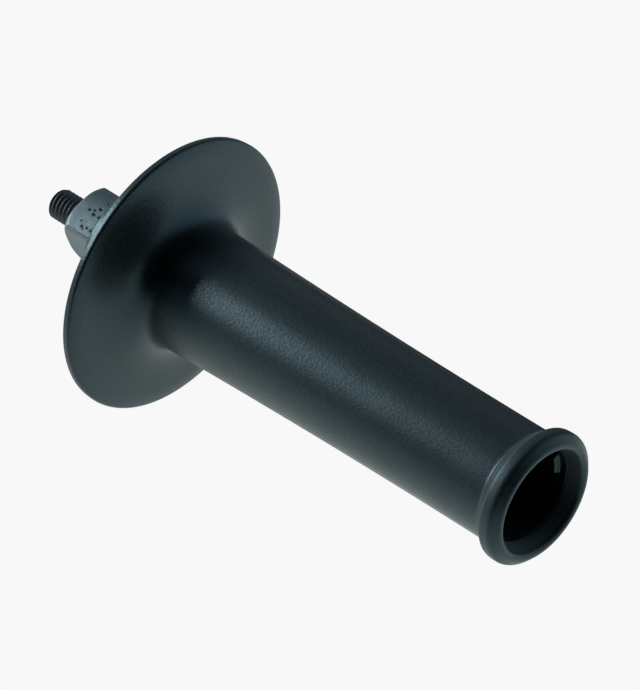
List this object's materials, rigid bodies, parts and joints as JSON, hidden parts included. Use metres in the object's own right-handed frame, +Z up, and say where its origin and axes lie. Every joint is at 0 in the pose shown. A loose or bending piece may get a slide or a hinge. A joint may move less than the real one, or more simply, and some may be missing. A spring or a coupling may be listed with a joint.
{
  "type": "power tool side handle",
  "caption": "Moulded side handle for a power tool: hollow round grip with a hand guard disc, a beaded open end and a threaded stud in a square metal insert.",
  "frame": {"origin": "centre of the insert's end face, where the threaded stud leaves it", "axes": "+X along the handle's axis from the stud to the open end, +Z up as in the picture"},
  "size_m": [0.1603, 0.072, 0.072],
  "materials": {
    "moulded_plastic": "satin black moulding with a fine eroded grain",
    "cast_insert": "pale grey die-cast metal with small pits",
    "stud_steel": "dark oiled steel thread"
  },
  "bodies": {
    "root": {"handle_body": "moulded_plastic", "square_insert": "cast_insert", "threaded_stud": "stud_steel"}
  },
  "joints": []
}
